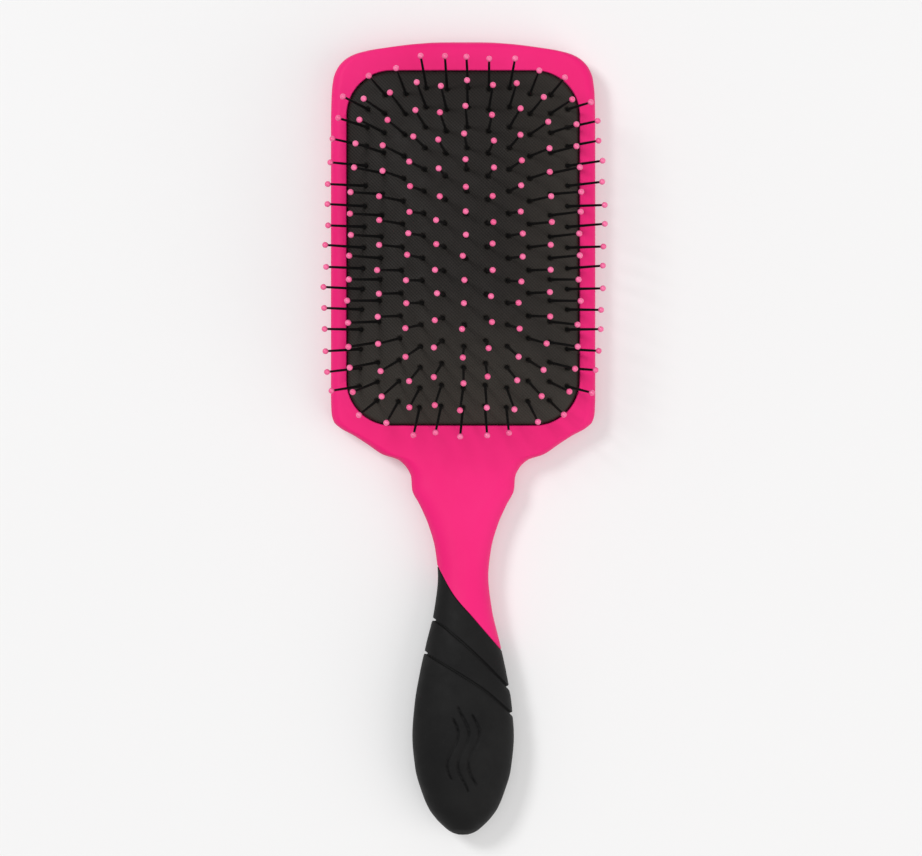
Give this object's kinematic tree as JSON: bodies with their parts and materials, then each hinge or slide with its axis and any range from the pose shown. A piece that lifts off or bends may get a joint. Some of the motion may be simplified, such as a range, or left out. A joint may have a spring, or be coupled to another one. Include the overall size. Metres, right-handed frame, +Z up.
{
  "type": "paddle hair brush",
  "caption": "Wide paddle hair brush with a domed rubber cushion, ball-tipped pins in lengthwise columns and a rubber-sleeved handle",
  "frame": {"origin": "middle of the overall footprint, on the surface that the brush's flat back lies on", "axes": "+Z up, out of the cushion along the pins; +Y towards the head's far end, along the brush; +X across the head"},
  "size_m": [0.0946, 0.2636, 0.045],
  "materials": {
    "pink_soft_touch": "matte soft-touch coating",
    "black_grip_rubber": "matte moulded rubber",
    "charcoal_cushion_rubber": "matte, fine woven texture",
    "retainer_plastic": "matte",
    "black_pin_nylon": "satin",
    "pink_ball_tip": "smooth dipped tips, on the visual pins only"
  },
  "bodies": {
    "paddle": {"paddle_body": "pink_soft_touch", "grip_sleeve": "black_grip_rubber", "cushion_retainer": "retainer_plastic"},
    "cushion": {"cushion_pad": "charcoal_cushion_rubber"},
    "column_01_lower": {"pin_column_01_lower": "black_pin_nylon"},
    "column_01_upper": {"pin_column_01_upper": "black_pin_nylon"},
    "column_02_lower": {"pin_column_02_lower": "black_pin_nylon"},
    "column_02_upper": {"pin_column_02_upper": "black_pin_nylon"},
    "column_03_lower": {"pin_column_03_lower": "black_pin_nylon"},
    "column_03_upper": {"pin_column_03_upper": "black_pin_nylon"},
    "column_04_lower": {"pin_column_04_lower": "black_pin_nylon"},
    "column_04_upper": {"pin_column_04_upper": "black_pin_nylon"},
    "column_05_lower": {"pin_column_05_lower": "black_pin_nylon"},
    "column_05_upper": {"pin_column_05_upper": "black_pin_nylon"},
    "column_06_lower": {"pin_column_06_lower": "black_pin_nylon"},
    "column_06_upper": {"pin_column_06_upper": "black_pin_nylon"},
    "column_07_lower": {"pin_column_07_lower": "black_pin_nylon"},
    "column_07_upper": {"pin_column_07_upper": "black_pin_nylon"},
    "column_08_lower": {"pin_column_08_lower": "black_pin_nylon"},
    "column_08_upper": {"pin_column_08_upper": "black_pin_nylon"},
    "column_09_lower": {"pin_column_09_lower": "black_pin_nylon"},
    "column_09_upper": {"pin_column_09_upper": "black_pin_nylon"},
    "column_10_lower": {"pin_column_10_lower": "black_pin_nylon"},
    "column_10_upper": {"pin_column_10_upper": "black_pin_nylon"},
    "column_11_lower": {"pin_column_11_lower": "black_pin_nylon"},
    "column_11_upper": {"pin_column_11_upper": "black_pin_nylon"}
  },
  "joints": [
    {"name": "cushion_press", "type": "slide", "parent": "paddle", "child": "cushion", "axis": [0, 0, -1], "range_m": [0, 0.003], "stiffness_N_per_m": 3000, "deforming": ["cushion_pad"]},
    {"name": "rock_column_01_lower", "type": "hinge", "parent": "cushion", "child": "column_01_lower", "pos_m": [-0.03381, 0.0364, 0.01396], "axis": [0, 1, 0], "range_deg": [-8, 8], "stiffness_Nm_per_rad": 0.15},
    {"name": "rock_column_01_upper", "type": "hinge", "parent": "cushion", "child": "column_01_upper", "pos_m": [-0.0323, 0.08674, 0.0147], "axis": [0, 1, 0], "range_deg": [-8, 8], "stiffness_Nm_per_rad": 0.15},
    {"name": "rock_column_02_lower", "type": "hinge", "parent": "cushion", "child": "column_02_lower", "pos_m": [-0.02796, 0.03562, 0.01634], "axis": [0, 1, 0], "range_deg": [-8, 8], "stiffness_Nm_per_rad": 0.15},
    {"name": "rock_column_02_upper", "type": "hinge", "parent": "cushion", "child": "column_02_upper", "pos_m": [-0.02644, 0.09088, 0.01683], "axis": [0, 1, 0], "range_deg": [-8, 8], "stiffness_Nm_per_rad": 0.15},
    {"name": "rock_column_03_lower", "type": "hinge", "parent": "cushion", "child": "column_03_lower", "pos_m": [-0.02094, 0.03348, 0.01838], "axis": [0, 1, 0], "range_deg": [-8, 8], "stiffness_Nm_per_rad": 0.15},
    {"name": "rock_column_03_upper", "type": "hinge", "parent": "cushion", "child": "column_03_upper", "pos_m": [-0.01956, 0.0893, 0.0189], "axis": [0, 1, 0], "range_deg": [-8, 8], "stiffness_Nm_per_rad": 0.15},
    {"name": "rock_column_04_lower", "type": "hinge", "parent": "cushion", "child": "column_04_lower", "pos_m": [-0.01393, 0.03437, 0.01967], "axis": [0, 1, 0], "range_deg": [-8, 8], "stiffness_Nm_per_rad": 0.15},
    {"name": "rock_column_04_upper", "type": "hinge", "parent": "cushion", "child": "column_04_upper", "pos_m": [-0.01267, 0.09213, 0.01982], "axis": [0, 1, 0], "range_deg": [-8, 8], "stiffness_Nm_per_rad": 0.15},
    {"name": "rock_column_05_lower", "type": "hinge", "parent": "cushion", "child": "column_05_lower", "pos_m": [-0.00688, 0.03261, 0.02025], "axis": [0, 1, 0], "range_deg": [-8, 8], "stiffness_Nm_per_rad": 0.15},
    {"name": "rock_column_05_upper", "type": "hinge", "parent": "cushion", "child": "column_05_upper", "pos_m": [-0.00579, 0.09006, 0.02062], "axis": [0, 1, 0], "range_deg": [-8, 8], "stiffness_Nm_per_rad": 0.15},
    {"name": "rock_column_06_lower", "type": "hinge", "parent": "cushion", "child": "column_06_lower", "pos_m": [0.00034, 0.03437, 0.02054], "axis": [0, 1, 0], "range_deg": [-8, 8], "stiffness_Nm_per_rad": 0.15},
    {"name": "rock_column_06_upper", "type": "hinge", "parent": "cushion", "child": "column_06_upper", "pos_m": [0.00126, 0.09213, 0.02054], "axis": [0, 1, 0], "range_deg": [-8, 8], "stiffness_Nm_per_rad": 0.15},
    {"name": "rock_column_07_lower", "type": "hinge", "parent": "cushion", "child": "column_07_lower", "pos_m": [0.0075, 0.03261, 0.0202], "axis": [0, 1, 0], "range_deg": [-8, 8], "stiffness_Nm_per_rad": 0.15},
    {"name": "rock_column_07_upper", "type": "hinge", "parent": "cushion", "child": "column_07_upper", "pos_m": [0.00825, 0.09006, 0.02047], "axis": [0, 1, 0], "range_deg": [-8, 8], "stiffness_Nm_per_rad": 0.15},
    {"name": "rock_column_08_lower", "type": "hinge", "parent": "cushion", "child": "column_08_lower", "pos_m": [0.01461, 0.03437, 0.01955], "axis": [0, 1, 0], "range_deg": [-8, 8], "stiffness_Nm_per_rad": 0.15},
    {"name": "rock_column_08_upper", "type": "hinge", "parent": "cushion", "child": "column_08_upper", "pos_m": [0.01519, 0.09213, 0.01947], "axis": [0, 1, 0], "range_deg": [-8, 8], "stiffness_Nm_per_rad": 0.15},
    {"name": "rock_column_09_lower", "type": "hinge", "parent": "cushion", "child": "column_09_lower", "pos_m": [0.02158, 0.03348, 0.01819], "axis": [0, 1, 0], "range_deg": [-8, 8], "stiffness_Nm_per_rad": 0.15},
    {"name": "rock_column_09_upper", "type": "hinge", "parent": "cushion", "child": "column_09_upper", "pos_m": [0.02199, 0.0893, 0.01831], "axis": [0, 1, 0], "range_deg": [-8, 8], "stiffness_Nm_per_rad": 0.15},
    {"name": "rock_column_10_lower", "type": "hinge", "parent": "cushion", "child": "column_10_lower", "pos_m": [0.02868, 0.03562, 0.01603], "axis": [0, 1, 0], "range_deg": [-8, 8], "stiffness_Nm_per_rad": 0.15},
    {"name": "rock_column_10_upper", "type": "hinge", "parent": "cushion", "child": "column_10_upper", "pos_m": [0.02892, 0.09088, 0.01595], "axis": [0, 1, 0], "range_deg": [-8, 8], "stiffness_Nm_per_rad": 0.15},
    {"name": "rock_column_11_lower", "type": "hinge", "parent": "cushion", "child": "column_11_lower", "pos_m": [0.03455, 0.0364, 0.01355], "axis": [0, 1, 0], "range_deg": [-8, 8], "stiffness_Nm_per_rad": 0.15},
    {"name": "rock_column_11_upper", "type": "hinge", "parent": "cushion", "child": "column_11_upper", "pos_m": [0.03465, 0.08674, 0.01355], "axis": [0, 1, 0], "range_deg": [-8, 8], "stiffness_Nm_per_rad": 0.15}
  ]
}
